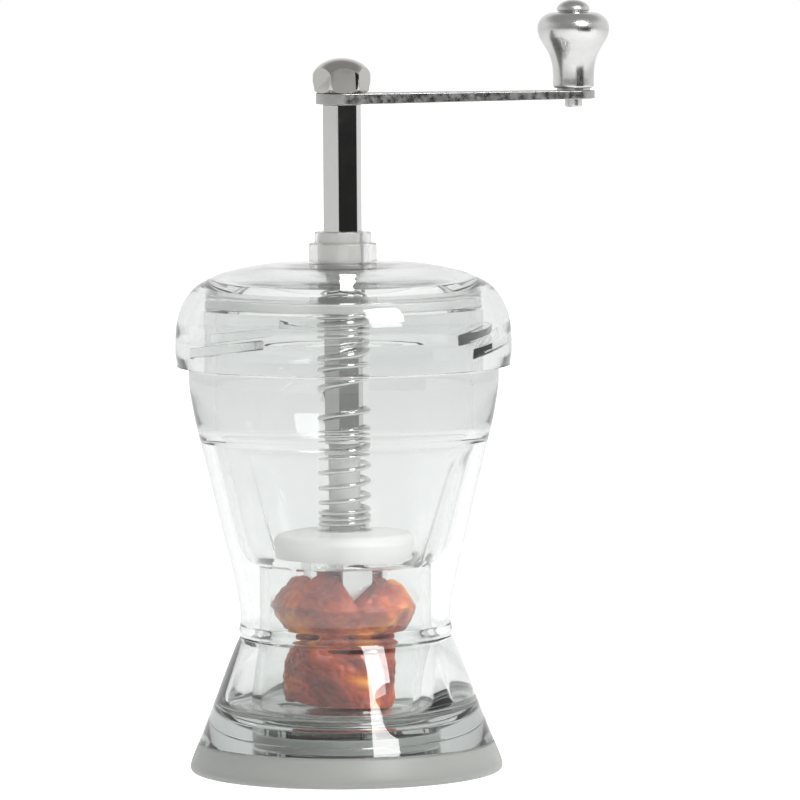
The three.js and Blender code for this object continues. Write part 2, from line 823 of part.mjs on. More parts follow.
add("mill_body", millBody(), materials.clear);
add("flared_foot", flaredFoot(), materials.clear);
add("blade_carrier", bladeCarrier(), materials.clear);
add("blade_disc", bladeDisc(), materials.blade);
for (const [name, side] of [["blade_screw_back", 1], ["blade_screw_front", -1]]) {
  add(name, bladeScrew().translate([0, side * BLADE_SCREW_Y, 0]), materials.satin);
}
add("base_cap", baseCap(), materials.smoke);

add("lid_gasket", lidGasket(), materials.silicone);
add("lid", lid(), materials.clear);
add("drive_bush", driveBush(), materials.frosted);
add("bush_collar", bushCollar(), materials.frosted);
add("return_spring", returnSpring(), materials.chrome);

add("drive_shaft", driveShaft(), materials.chrome);
add("spring_washer", washer(HUB_R + 0.2, 5.6, Z.pusherTop + 0.1, WASHER_THICK), materials.satin);
add("pusher", pusher(), materials.frosted);
add("claw_plate", clawPlate(), materials.blade);
add("claw_nut", clawNut(), materials.satin);
add("crank_arm", crankArm(), materials.chrome);
add("cap_nut", capNut(), materials.chrome);
add("knob_pin", knobPin(), materials.satin);
add("knob_washer", knobWasher(), materials.satin);
add("knob", knob(), materials.satin);

add("chilli_upper", upperChilli(), materials.chilli);
add("chilli_lower", lowerChilli(), materials.chilli);

export default group;
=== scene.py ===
"""Clear crank mill with dried chillies inside.

Fine meshes, materials, studio and camera round the CAD frame.
"""

import math

import bmesh
import bpy
from mathutils import Matrix, Vector, noise


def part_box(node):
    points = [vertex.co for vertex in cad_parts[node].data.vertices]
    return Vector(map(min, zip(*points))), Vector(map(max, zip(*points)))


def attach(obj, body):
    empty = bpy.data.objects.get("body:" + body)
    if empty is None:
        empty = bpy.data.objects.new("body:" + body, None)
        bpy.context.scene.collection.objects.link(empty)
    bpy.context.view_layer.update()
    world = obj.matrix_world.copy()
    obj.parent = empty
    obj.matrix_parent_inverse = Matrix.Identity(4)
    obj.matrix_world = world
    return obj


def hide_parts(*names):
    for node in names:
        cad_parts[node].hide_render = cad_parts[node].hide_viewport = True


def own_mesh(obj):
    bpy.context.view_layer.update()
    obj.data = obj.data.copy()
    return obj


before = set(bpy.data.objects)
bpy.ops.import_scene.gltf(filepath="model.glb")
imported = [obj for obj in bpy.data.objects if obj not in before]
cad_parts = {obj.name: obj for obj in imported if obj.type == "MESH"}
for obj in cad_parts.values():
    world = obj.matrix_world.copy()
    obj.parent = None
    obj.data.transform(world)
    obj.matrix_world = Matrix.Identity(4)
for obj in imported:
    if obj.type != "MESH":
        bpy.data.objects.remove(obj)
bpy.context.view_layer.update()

MM = 0.001
TURN = 2 * math.pi

# ---- driving dimensions, in millimetres, as the CAD has them ----
GAP = 0.2
CHAMBER_R = 15.4
NECK_R = 27.9
NECK_BORE_R = 25.6
TUBE_R = 17.2
LID_BORE_R = 31.2
COUNTERBORE_R = 20.0
WEB_BORE_R = 17.5
BUSH_R = 5.1
HUB_R = 3.2
STEM_R = 2.0
HEX_FLATS = 7.0
CLAW_R = 7.9
CLAW_SHEET = 1.1
CLAW_WIDTH = 6.0
TIP_R = 4.3
HUB_END_R = 5.2
PIN_R = 1.75
PIN_NECK_R = 1.25
CLAW_TIP_IN = 1.7  # from a claw's left edge in to its tip
TENON_SIDE = 5.0
NUT_FLATS = 10.0
FLESH_GAP = 0.25  # between the load and the chamber's wall

STARTS = 3
LUG_TURN = -36.0  # degrees from +X to the middle of the first lug
LEAD = 24.0
LUG_ARC = 40.0
LUG_THICK = 1.8
LUG_DEPTH = 2.2
RUN_OUT = 0.45  # share of a lug over which each end runs out
NECK_LUG_Z = 86.2
LID_LUG_Z = NECK_LUG_Z - LUG_THICK - 0.4

LOBES = 4
RIDGE_TURN = 45.0
SHELL_WALL = 2.2
HOPPER_WALL = 1.7
SCOOP_DEPTH = 4.3  # from the outside to a scoop's deepest line
SCOOP_FLOOR = 5.0
LOBE_POWER = 1.4  # how softly a ridge rounds off
RIB_DEPTH = 0.45
RIB_ROOT_R = 18.6
FLARE_LOW_R = 25.3  # the foot's inside at the web
FLARE_HIGH_R = 20.0
FLARE_HIGH_Z = 24.6


def low(node):
    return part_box(node)[0] / MM


def high(node):
    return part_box(node)[1] / MM


# levels along the axis, read from the frame where a node's end gives them
CAP_FLOOR = 1.4
CAP_TOP = 5.8
SPIGOT_TOP = high("base_cap").z
FOOT_BOTTOM = low("flared_foot").z
CARRIER_FLANGE_TOP = 9.2
WEB_TOP = 10.8
FOOT_TOP = high("flared_foot").z
TUBE_BOTTOM = low("mill_body").z
CAVITY_TOP = 66.8
FUNNEL_BOTTOM = 42.0
FUNNEL_TOP = 71.0
SHOULDER = low("lid").z - GAP
NECK_TOP = high("mill_body").z
BOSS_BOTTOM = 94.5
SEAL_RIB = 94.9
DOME_TOP = high("lid").z - 0.1
COLLAR_STEP = 106.0
BUSH_TOP = high("drive_bush").z
PUSHER_BOTTOM = low("pusher").z
PUSHER_TOP = 48.4
HEX_BOTTOM = 65.0
ARM_BOTTOM = low("crank_arm").z
ARM_TOP = high("crank_arm").z
ARM_HUB_THICK = ARM_TOP - ARM_BOTTOM
ARM_TIP_THICK = 1.7
ARM_REACH = (low("knob").x + high("knob").x) / 2
KNOB_BOTTOM = low("knob").z
KNOB_HEIGHT = high("knob").z - KNOB_BOTTOM
PIN_BOTTOM = low("knob_pin").z
PIN_TOP = high("knob_pin").z
SPRING_BOTTOM = low("return_spring").z
SPRING_TOP = high("return_spring").z
CLAW_TOP = high("claw_plate").z
CLAW_TIP = low("claw_plate").z


# ---- mesh helpers ----
def add_piece(name, mesh, material, body, node=None, flat_faces=True):
    """Links the mesh as a piece that rides on the body, in place of the CAD node if one is named."""
    piece = bpy.data.objects.new(name, mesh)
    bpy.context.scene.collection.objects.link(piece)
    mesh.materials.clear()
    mesh.materials.append(material)
    if flat_faces:
        even_shading(piece)
    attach(piece, body)
    if node:
        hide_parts(node)
    return piece


def even_shading(piece):
    """Large faces keep their own normals, so only the rounded edges between them shade as curves."""
    weighted = piece.modifiers.new("even_shading", "WEIGHTED_NORMAL")
    weighted.weight = 100
    weighted.keep_sharp = True


def to_mesh(name, corners, faces, sharp=35):
    """A smooth-shaded mesh from corners in millimetres; edges over the angle "sharp" stay crisp."""
    mesh = bpy.data.meshes.new(name)
    mesh.from_pydata([Vector(c) * MM for c in corners], [], faces)
    clean = bmesh.new()
    clean.from_mesh(mesh)
    bmesh.ops.remove_doubles(clean, verts=clean.verts, dist=1e-7)
    bmesh.ops.recalc_face_normals(clean, faces=clean.faces)
    clean.to_mesh(mesh)
    clean.free()
    shade(mesh, sharp)
    return mesh


def shade(mesh, sharp=35):
    mesh.polygons.foreach_set("use_smooth", [True] * len(mesh.polygons))
    mesh.set_sharp_from_angle(angle=math.radians(sharp))


def arc(centre_r, centre_z, radius_r, radius_z, start, end, steps):
    """Points of an arc in a turned outline, from one angle to the other, in degrees."""
    angles = [math.radians(start + (end - start) * i / steps) for i in range(steps + 1)]
    return [(centre_r + radius_r * math.cos(a), centre_z + radius_z * math.sin(a)) for a in angles]


def rounded(outline, steps=5):
    """Closed outline of (r, z) or (r, z, fillet) corners, with each fillet cut in as a short curve."""
    result = []
    for i, corner in enumerate(outline):
        point = Vector(corner[:2])
        if len(corner) < 3 or corner[2] <= 0:
            result.append(point)
            continue
        before = Vector(outline[i - 1][:2]) - point
        after = Vector(outline[(i + 1) % len(outline)][:2]) - point
        reach = min(corner[2], before.length * 0.49, after.length * 0.49)
        start = point + before.normalized() * reach
        end = point + after.normalized() * reach
        for k in range(steps + 1):
            t = k / steps
            result.append(start * (1 - t) ** 2 + point * 2 * t * (1 - t) + end * t ** 2)
    return [(p.x, p.y) for p in result]


def spline(points, steps=6):
    """Catmull-Rom curve through (r, z) points."""
    result = []
    for i in range(len(points) - 1):
        p0 = Vector(points[max(i - 1, 0)])
        p1 = Vector(points[i])
        p2 = Vector(points[i + 1])
        p3 = Vector(points[min(i + 2, len(points) - 1)])
        for k in range(steps):
            t = k / steps
            result.append(
                0.5 * ((2 * p1) + (p2 - p0) * t + (2 * p0 - 5 * p1 + 4 * p2 - p3) * t ** 2
                       + (3 * p1 - p0 - 3 * p2 + p3) * t ** 3)
            )
    result.append(Vector(points[-1]))
    return [(p.x, p.y) for p in result]


def turned(name, outline, sides=160, warp=None, sharp=35, centre=(0, 0)):
    """A closed outline of (r, z) turned about the axis through centre."""
    corners = []
    rings = []
    for r, z in outline:
        if r < 1e-6:
            rings.append([len(corners)] * sides)
            corners.append((centre[0], centre[1], z))
            continue
        rings.append(list(range(len(corners), len(corners) + sides)))
        for k in range(sides):
            angle = TURN * k / sides
            radius = warp(r, z, angle) if warp else r
            corners.append((centre[0] + radius * math.cos(angle), centre[1] + radius * math.sin(angle), z))
    faces = []
    for i, ring in enumerate(rings):
        after = rings[(i + 1) % len(rings)]
        for k in range(sides):
            n = (k + 1) % sides
            face = list(dict.fromkeys([ring[k], ring[n], after[n], after[k]]))
            if len(face) > 2:
                faces.append(face)
    return to_mesh(name, corners, faces, sharp)


def extruded(name, outline, place, depth_low, depth_high, sharp=35):
    """A flat outline of (u, v) points between two depths; place(u, v, depth) gives the corner."""
    count = len(outline)
    corners = [place(u, v, depth_low) for u, v in outline] + [place(u, v, depth_high) for u, v in outline]
    faces = [list(range(count))[::-1], list(range(count, 2 * count))]
    for i in range(count):
        n = (i + 1) % count
        faces.append([i, n, count + n, count + i])
    return to_mesh(name, corners, faces, sharp)


def upright(u, v, depth):
    return (u, v, depth)


def polygon(sides, corner_radius, turn=0.0):
    angles = [TURN * k / sides + math.radians(turn) for k in range(sides)]
    return [(corner_radius * math.cos(a), corner_radius * math.sin(a)) for a in angles]


def rectangle(u_low, u_high, v_low, v_high):
    return [(u_low, v_low), (u_high, v_low), (u_high, v_high), (u_low, v_high)]


def hexagon(flats, turn=0.0):
    return polygon(6, flats / math.sqrt(3), turn)


def bevel(mesh, width, segments=3, angle=30):
    """Rounds the edges sharper than the angle."""
    work = bmesh.new()
    work.from_mesh(mesh)
    edges = [e for e in work.edges if len(e.link_faces) == 2 and e.calc_face_angle(0) > math.radians(angle)]
    bmesh.ops.bevel(work, geom=edges, offset=width * MM, segments=segments, profile=0.5, affect="EDGES",
                    clamp_overlap=True)
    work.to_mesh(mesh)
    work.free()
    shade(mesh)
    return mesh


def merged(name, meshes):
    """Several meshes as one, each keeping its own shading."""
    work = bmesh.new()
    for mesh in meshes:
        work.from_mesh(mesh)
    result = bpy.data.meshes.new(name)
    work.to_mesh(result)
    work.free()
    shade(result)
    return result


def boolean(mesh, others, operation):
    """The mesh joined with, cut by or limited to the others."""
    target = bpy.data.objects.new("work", mesh)
    bpy.context.scene.collection.objects.link(target)
    helpers = []
    for other in others:
        helper = bpy.data.objects.new("tool", other)
        bpy.context.scene.collection.objects.link(helper)
        helpers.append(helper)
        modifier = target.modifiers.new("cut", "BOOLEAN")
        modifier.object = helper
        modifier.operation = operation
        modifier.solver = "EXACT"
    bpy.context.view_layer.update()
    depsgraph = bpy.context.evaluated_depsgraph_get()
    result = bpy.data.meshes.new_from_object(target.evaluated_get(depsgraph))
    for helper in helpers + [target]:
        bpy.data.objects.remove(helper)
    shade(result)
    return result


def moved(mesh, matrix):
    copy = mesh.copy()
    copy.transform(matrix)
    return copy


def spun(mesh, degrees):
    return moved(mesh, Matrix.Rotation(math.radians(degrees), 4, "Z"))


# ---- materials ----
class Recipe:
    """A Principled material with helpers for the procedural nodes that feed it."""

    def __init__(self, name):
        self.material = bpy.data.materials.new(name)
        self.material.use_nodes = True
        self.tree = self.material.node_tree
        self.tree.nodes.clear()
        self.output = self.tree.nodes.new("ShaderNodeOutputMaterial")
        self.shader = self.tree.nodes.new("ShaderNodeBsdfPrincipled")
        self.link(self.shader.outputs[0], self.output.inputs["Surface"])
        self.place = self.tree.nodes.new("ShaderNodeTexCoord").outputs["Object"]

    def link(self, source, target):
        self.tree.links.new(source, target)

    def set(self, **values):
        for key, value in values.items():
            self.shader.inputs[key.replace("_", " ")].default_value = value
        return self

    def stretched(self, scale):
        mapping = self.tree.nodes.new("ShaderNodeMapping")
        mapping.inputs["Scale"].default_value = scale
        self.link(self.place, mapping.inputs["Vector"])
        return mapping.outputs["Vector"]

    def noise(self, scale, detail=4.0, roughness=0.5, vector=None, distortion=0.0):
        node = self.tree.nodes.new("ShaderNodeTexNoise")
        node.inputs["Scale"].default_value = scale
        node.inputs["Detail"].default_value = detail
        node.inputs["Roughness"].default_value = roughness
        node.inputs["Distortion"].default_value = distortion
        self.link(vector or self.place, node.inputs["Vector"])
        return node.outputs["Fac"]

    def ramp(self, source, stops):
        """Colour ramp from (position, colour) stops."""
        node = self.tree.nodes.new("ShaderNodeValToRGB")
        elements = node.color_ramp.elements
        while len(elements) < len(stops):
            elements.new(0.5)
        for element, (position, colour) in zip(elements, stops):
            element.position = position
            element.color = (*colour, 1.0)
        self.link(source, node.inputs["Fac"])
        return node.outputs["Color"]

    def span(self, source, low_value, high_value, start=0.3, end=0.7):
        """Maps a noise value to a range."""
        node = self.tree.nodes.new("ShaderNodeMapRange")
        node.inputs["From Min"].default_value = start
        node.inputs["From Max"].default_value = end
        node.inputs["To Min"].default_value = low_value
        node.inputs["To Max"].default_value = high_value
        self.link(source, node.inputs["Value"])
        return node.outputs["Result"]

    def bump(self, height, strength, distance):
        node = self.tree.nodes.new("ShaderNodeBump")
        node.inputs["Strength"].default_value = strength
        node.inputs["Distance"].default_value = distance
        self.link(height, node.inputs["Height"])
        return node.outputs["Normal"]

    def feed(self, socket, source):
        self.link(source, self.shader.inputs[socket])
        return self

    def absorbs(self, colour, density):
        """Darkens with the thickness that light crosses."""
        volume = self.tree.nodes.new("ShaderNodeVolumeAbsorption")
        volume.inputs["Color"].default_value = (*colour, 1.0)
        volume.inputs["Density"].default_value = density
        self.link(volume.outputs[0], self.output.inputs["Volume"])
        return self

    def lets_lamps_through(self, tint):
        """Rays from lamps pass straight through, tinted, so that what is inside is lit."""
        path = self.tree.nodes.new("ShaderNodeLightPath")
        clear = self.tree.nodes.new("ShaderNodeBsdfTransparent")
        clear.inputs["Color"].default_value = (*tint, 1.0)
        mix = self.tree.nodes.new("ShaderNodeMixShader")
        self.link(path.outputs["Is Shadow Ray"], mix.inputs["Fac"])
        self.link(self.shader.outputs[0], mix.inputs[1])
        self.link(clear.outputs[0], mix.inputs[2])
        self.link(mix.outputs[0], self.output.inputs["Surface"])
        return self


def clear_acrylic():
    recipe = Recipe("clear_acrylic")
    recipe.set(Base_Color=(0.985, 0.99, 0.987, 1), Roughness=0.0, IOR=1.49, Transmission_Weight=1.0)
    waves = recipe.noise(28.0, 2.0, 0.4)
    recipe.feed("Normal", recipe.bump(waves, 0.12, 0.0004))
    recipe.feed("Roughness", recipe.span(recipe.noise(160.0, 5.0, 0.6), 0.0, 0.035, 0.45, 0.85))
    recipe.absorbs((0.73, 0.75, 0.74), 100.0)
    return recipe.lets_lamps_through((0.985, 0.985, 0.985)).material


def frosted_plastic(name="frosted_plastic", clarity=0.93, brightness=0.95, low_r=0.06, high_r=0.13):
    recipe = Recipe(name)
    recipe.set(Base_Color=(brightness, brightness, brightness * 0.99, 1), IOR=1.40,
               Transmission_Weight=clarity, Subsurface_Weight=0.6, Subsurface_Radius=(1.0, 1.0, 1.0),
               Subsurface_Scale=0.004)
    recipe.feed("Roughness", recipe.span(recipe.noise(900.0, 4.0, 0.6), low_r, high_r))
    recipe.feed("Normal", recipe.bump(recipe.noise(1500.0, 3.0, 0.6), 0.08, 0.00005))
    return recipe.lets_lamps_through((0.75, 0.75, 0.75)).material


def smoke_plastic():
    recipe = Recipe("smoke_plastic")
    # The cap is translucent plastic; its grey base colour is painted shade, standing in for the darker band
    # at the mill's base.
    recipe.set(Base_Color=(0.49, 0.5, 0.48, 1), IOR=1.40, Transmission_Weight=0.5)
    recipe.feed("Roughness", recipe.span(recipe.noise(500.0, 4.0, 0.6), 0.3, 0.45))
    recipe.feed("Normal", recipe.bump(recipe.noise(1200.0, 2.0, 0.5), 0.05, 0.00004))
    return recipe.lets_lamps_through((0.5, 0.5, 0.5)).material


def silicone():
    recipe = Recipe("silicone")
    recipe.set(Base_Color=(0.9, 0.91, 0.9, 1), IOR=1.41, Transmission_Weight=0.85)
    recipe.feed("Roughness", recipe.span(recipe.noise(700.0, 4.0, 0.6), 0.4, 0.55))
    recipe.feed("Normal", recipe.bump(recipe.noise(2200.0, 3.0, 0.6), 0.2, 0.00005))
    return recipe.material


def chromed_steel(name="chromed_steel", tint=(0.58, 0.58, 0.57)):
    recipe = Recipe(name)
    recipe.set(Base_Color=(*tint, 1), Metallic=1.0)
    smudges = recipe.noise(120.0, 6.0, 0.65)
    recipe.feed("Roughness", recipe.span(smudges, 0.05, 0.16, 0.4, 0.75))
    ripple = recipe.noise(90.0, 2.0, 0.4, recipe.stretched((1.0, 1.0, 0.25)))
    recipe.feed("Normal", recipe.bump(ripple, 0.25, 0.0003))
    return recipe.material


def satin_steel(name="satin_steel", tint=(0.62, 0.62, 0.61), grain=(1.0, 1.0, 14.0), low_r=0.22, high_r=0.36):
    """Brushed along the directions where "grain" is small."""
    recipe = Recipe(name)
    recipe.set(Metallic=1.0)
    streaks = recipe.noise(700.0, 5.0, 0.6, recipe.stretched(grain))
    cloud = recipe.noise(150.0, 4.0, 0.5)
    dark = tuple(c * 0.82 for c in tint)
    recipe.feed("Base Color", recipe.ramp(cloud, [(0.3, dark), (0.7, tint)]))
    recipe.feed("Roughness", recipe.span(streaks, low_r, high_r))
    recipe.feed("Normal", recipe.bump(streaks, 0.3, 0.00003))
    return recipe.material


def dried_chilli():
    recipe = Recipe("dried_chilli")
    recipe.set(IOR=1.45, Subsurface_Weight=0.12, Subsurface_Radius=(1.0, 0.3, 0.1), Subsurface_Scale=0.0015,
               Coat_Weight=0.1, Coat_Roughness=0.35)
    patches = recipe.noise(70.0, 5.0, 0.5, distortion=1.0)
    recipe.feed("Base Color", recipe.ramp(patches, [
        (0.32, (0.09, 0.008, 0.003)),
        (0.43, (0.24, 0.020, 0.004)),
        (0.52, (0.40, 0.045, 0.005)),
        (0.57, (0.60, 0.125, 0.008)),
        (0.63, (0.88, 0.320, 0.015)),
    ]))
    recipe.feed("Roughness", recipe.span(recipe.noise(400.0, 5.0, 0.6), 0.32, 0.6))
    creases = recipe.noise(520.0, 6.0, 0.6, recipe.stretched((1.0, 1.0, 0.5)))
    recipe.feed("Normal", recipe.bump(creases, 0.5, 0.0004))
    return recipe.material


ACRYLIC = clear_acrylic()
FROSTED = frosted_plastic()
MILKY = frosted_plastic("milky_plastic", 0.5, 0.92, 0.34, 0.5)
SHADE_GREY = smoke_plastic()
SILICONE = silicone()
CHROME = chromed_steel()
WORN = satin_steel("arm_steel", (0.42, 0.42, 0.41), (1.0, 1.0, 1.0), 0.16, 0.46)
DARK_CHROME = chromed_steel("nut_steel", (0.5, 0.49, 0.46))
SPRING = chromed_steel("spring_steel", (0.62, 0.62, 0.61))
SATIN = satin_steel()
# The stem's steel is tinted brighter than the satin steel: painted light, standing in for light on the stem
# inside the spring.
BRIGHTENED_STEM = satin_steel("stem_steel_painted_light", (0.9, 0.9, 0.89), (1.0, 1.0, 14.0), 0.3, 0.42)
TURNED = satin_steel("knob_steel", (0.64, 0.64, 0.63), (8.0, 8.0, 0.5), 0.14, 0.3)
ROLLED = satin_steel("blade_steel", (0.85, 0.86, 0.85), (1.0, 12.0, 1.0), 0.26, 0.42)
CHILLI = dried_chilli()


# ---- housing ----
BODY_SIDE = [
    (31.05, SHOULDER - 0.35), (31.0, 78.0), (30.6, 75.0), (29.9, 71.0), (28.9, 66.8), (26.9, 58.4),
    (24.7, 49.0), (22.6, 40.4), (21.3, 33.6), (21.1, 30.8), (21.4, 28.6), (21.2, FOOT_TOP + GAP),
]


def outside_radius(z):
    for (high_r, above), (low_r, below) in zip(BODY_SIDE, BODY_SIDE[1:]):
        if below <= z <= above:
            return low_r + (high_r - low_r) * (z - below) / (above - below)
    return BODY_SIDE[0][0]


RIDGE_LINE = [(15.4, 42), (16.1, 44), (18.2, 50), (20.1, 56), (22.2, 62), (24.2, 66), (25.3, 69), (25.6, 71)]


def ridge_radius(z):
    for (low_r, below), (high_r, above) in zip(RIDGE_LINE, RIDGE_LINE[1:]):
        if below <= z <= above:
            return low_r + (high_r - low_r) * (z - below) / (above - below)
    return RIDGE_LINE[0][0] if z < FUNNEL_BOTTOM else RIDGE_LINE[-1][0]


def lobe(angle, power):
    """0 on a ridge, 1 halfway between two."""
    return abs(math.sin(LOBES / 2 * (angle + math.pi / 2 + math.radians(RIDGE_TURN)))) ** power


def scoop_depth(z):
    """How far a scoop's deepest line lies outside the ridge line."""
    climb = min(max((z - FUNNEL_BOTTOM) / SCOOP_FLOOR, 0.0), 1.0)
    fade = min(max((FUNNEL_TOP - z) / 9, 0.0), 1.0)
    deep = max(outside_radius(z) - SCOOP_DEPTH - ridge_radius(z), 0.0)
    return deep * math.sqrt(1 - (1 - climb) ** 2) * fade * fade * (3 - 2 * fade)


def hopper_warp(r, z, angle):
    if not FUNNEL_BOTTOM < z < FUNNEL_TOP or r > ridge_radius(z) + HOPPER_WALL + 0.5:
        return r
    return r + scoop_depth(z) * lobe(angle, LOBE_POWER)


def thread_lugs(root, crest, z_low):
    """The short bars of the quick thread, climbing with its lead and running out at both ends."""
    steps = 48
    sunk = math.copysign(0.5, root - crest)
    corners = []
    for i in range(steps + 1):
        share = i / steps
        angle = math.radians(LUG_ARC) * (share - 0.5)
        climb = LEAD * LUG_ARC / 360 * share
        run_out = math.sin(min(share, 1 - share, RUN_OUT) / RUN_OUT * math.pi / 2)
        ends = sorted((root + sunk, root + 0.3 * sunk + (crest - root) * run_out))
        for r, dz in ((ends[0], 0), (ends[1], 0), (ends[1], LUG_THICK), (ends[0], LUG_THICK)):
            corners.append((r * math.cos(angle), r * math.sin(angle), z_low + dz + climb))
    faces = [[0, 1, 2, 3], [4 * steps + k for k in (3, 2, 1, 0)]]
    for i in range(steps):
        for k in range(4):
            n = (k + 1) % 4
            faces.append([4 * i + k, 4 * i + n, 4 * (i + 1) + n, 4 * (i + 1) + k])
    lug = bevel(to_mesh("lug", corners, faces), 0.3)
    return [spun(lug, LUG_TURN + 360 / STARTS * k) for k in range(STARTS)]


def mill_body():
    steps = 24
    climb = CAVITY_TOP - 0.6 - FUNNEL_BOTTOM
    levels = [FUNNEL_BOTTOM + 0.01 + climb * (i / steps) ** 1.4 for i in range(steps + 1)]
    inner = [(ridge_radius(z), z) for z in levels] + [(ridge_radius(z), z) for z in (67.2, 68.2, 69, 70)]
    outer = [(ridge_radius(z) + HOPPER_WALL, z) for z in reversed(levels)]
    lining = [(r - SHELL_WALL, z) for r, z in spline(BODY_SIDE) if 29 < z < CAVITY_TOP - 1]
    outline = (
        [(NECK_BORE_R, NECK_TOP), (NECK_R - 0.4, NECK_TOP), (NECK_R, NECK_TOP - 0.4),
         (NECK_R, SHOULDER), (30.6, SHOULDER), (30.95, SHOULDER - 0.15)]
        + spline(BODY_SIDE)
        + [(18.9, FOOT_TOP + GAP)]
        + lining[::-1]
        + [(26.65, CAVITY_TOP), (26.35, CAVITY_TOP)]
        + outer
        + [(TUBE_R, FUNNEL_BOTTOM - 1.5)]
        + rounded([
            (TUBE_R, TUBE_BOTTOM, 0.2), (CHAMBER_R, TUBE_BOTTOM, 0.2), (CHAMBER_R, FUNNEL_BOTTOM - 0.5),
        ])
        + inner
        + [(NECK_BORE_R, FUNNEL_TOP)]
    )
    shell = turned("body_shell", outline, sides=240, warp=hopper_warp, sharp=50)
    return boolean(shell, thread_lugs(NECK_R, NECK_R + LUG_DEPTH, NECK_LUG_Z), "UNION")


NOTCH_TURN = 110  # degrees from +X to the nail notch


def foot_warp(r, z, angle):
    """Ribs stand in from the flare's inside, in line with the hopper's ridges."""
    if not WEB_TOP + 0.1 < z < FOOT_TOP - 1.2 or r < 18.8 or r > flare_inside(z) + 0.4:
        return r
    rise = (z - WEB_TOP) / (FOOT_TOP - 1.2 - WEB_TOP)
    closed = 1 - math.sqrt(max(1 - (2 * rise - 1) ** 4, 0.0))
    rib = RIB_DEPTH * (1 - lobe(angle, LOBE_POWER))
    return RIB_ROOT_R + (r - RIB_ROOT_R) * (1 - rib) * (1 - closed)


def flare_inside(z):
    return FLARE_LOW_R + (FLARE_HIGH_R - FLARE_LOW_R) * (z - WEB_TOP) / (FLARE_HIGH_Z - WEB_TOP)


def flared_foot():
    outer = spline([(21.2, FOOT_TOP), (21.6, FOOT_TOP - 0.8), (22.5, 24.4), (24.1, 20.4), (25.9, 15.6),
                    (27.9, 10.4), (29.6, FOOT_BOTTOM + 0.15)])
    seat = rounded([
        (29.45, FOOT_BOTTOM), (COUNTERBORE_R, FOOT_BOTTOM, 0.3),
        (COUNTERBORE_R, CARRIER_FLANGE_TOP + GAP, 0.3), (WEB_BORE_R, CARRIER_FLANGE_TOP + GAP, 0.2),
        (WEB_BORE_R, WEB_TOP, 0.3), (RIB_ROOT_R, WEB_TOP),
    ])
    steps = 30
    levels = [WEB_TOP + 0.12 + (FOOT_TOP - 1.4 - WEB_TOP) * i / steps for i in range(steps + 1)]
    pockets = [(flare_inside(z), z) for z in levels]
    outline = outer + seat + pockets + [(18.7, FOOT_TOP - 1.1), (18.9, FOOT_TOP)]
    return turned("foot_flare", outline, sides=240, warp=foot_warp, sharp=50)


def base_cap():
    spigot_r = COUNTERBORE_R - GAP
    side = spline([(30.2, 0), (30.95, 0.25), (31.35, 0.9), (31.2, 2), (30.5, 3.9), (29.8, CAP_TOP - 0.2)])
    inside = rounded([
        (29.6, CAP_TOP, 0.1), (27.6, CAP_TOP, 0.2), (28.6, CAP_FLOOR, 0.9), (spigot_r, CAP_FLOOR, 0.4),
        (spigot_r, SPIGOT_TOP, 0.3), (spigot_r - 1.6, SPIGOT_TOP, 0.2), (spigot_r - 1.6, CAP_FLOOR, 0.8),
        (0, CAP_FLOOR),
    ])
    cup = turned("cap_cup", [(0, 0)] + side + inside, sides=200)
    notch = extruded("notch", rectangle(29, 33, -4, 4), upright, CAP_TOP - 1, CAP_TOP + 1)
    return boolean(cup, [spun(notch, NOTCH_TURN)], "DIFFERENCE")


def lid_gasket():
    ring = rounded([
        (NECK_BORE_R + 0.2, NECK_TOP + 0.1, 0.3), (NECK_R - 0.3, NECK_TOP + 0.1, 0.3),
        (NECK_R - 0.3, SEAL_RIB - 0.1, 0.3), (NECK_BORE_R + 0.2, SEAL_RIB - 0.1, 0.3),
    ])
    return turned("gasket_ring", ring, sides=160)


def lid():
    bore = BUSH_R + GAP
    dome = spline([(7.4, DOME_TOP + 0.05), (12, DOME_TOP - 0.1), (17.5, 101.5), (23.3, 100.3), (27, 98.9),
                   (29.6, 97.3), (31.4, 95.3), (32.6, 93), (33.3, 90.5), (33.65, 87), (33.65, 84)])
    ceiling = spline([(LID_BORE_R, 87), (31.15, 89.8), (30.6, 91.8), (29.6, 93.8), (28.2, 95.6)])
    crown = spline([(25.8, 97.1), (22.6, 98.3), (17.2, 99.4), (12, 99.8), (7.6, 99.9)])
    outline = (
        [(bore, DOME_TOP + 0.1)] + dome
        + rounded([(33.6, SHOULDER + GAP, 0.35), (LID_BORE_R, SHOULDER + GAP, 0.25)])
        + ceiling
        + rounded([(27.6, 96.1), (27.6, SEAL_RIB, 0.3), (25.8, SEAL_RIB, 0.3)])
        + crown
        + rounded([(6.8, 99.8, 0.3), (6.8, BOSS_BOTTOM, 0.3), (bore, BOSS_BOTTOM, 0.1)])
    )
    shell = turned("lid_shell", outline, sides=240)
    return boolean(shell, thread_lugs(LID_BORE_R, LID_BORE_R - LUG_DEPTH, LID_LUG_Z), "UNION")


# ---- drive ----
def drive_bush():
    flange_top = BOSS_BOTTOM - 0.1
    sleeve = turned("bush_sleeve", rounded([
        (0, BUSH_TOP), (BUSH_R, BUSH_TOP, 0.25), (BUSH_R, flange_top), (6.4, flange_top, 0.1),
        (6.4, flange_top - 1.3, 0.3), (0, flange_top - 1.3),
    ]), sides=96)
    bore = extruded("bore", hexagon(HEX_FLATS + 0.25), upright, 80, 120)
    return boolean(sleeve, [bore], "DIFFERENCE")


def bush_collar():
    bore, low_step, high_step = BUSH_R + 0.06, 6.8, 5.7
    return turned("collar_ring", rounded([
        (bore, DOME_TOP + 0.3), (low_step, DOME_TOP + 0.3, 0.2), (low_step, COLLAR_STEP, 0.5),
        (high_step, COLLAR_STEP, 0.15), (high_step, BUSH_TOP, 0.35), (bore, BUSH_TOP, 0.1),
    ]), sides=96)


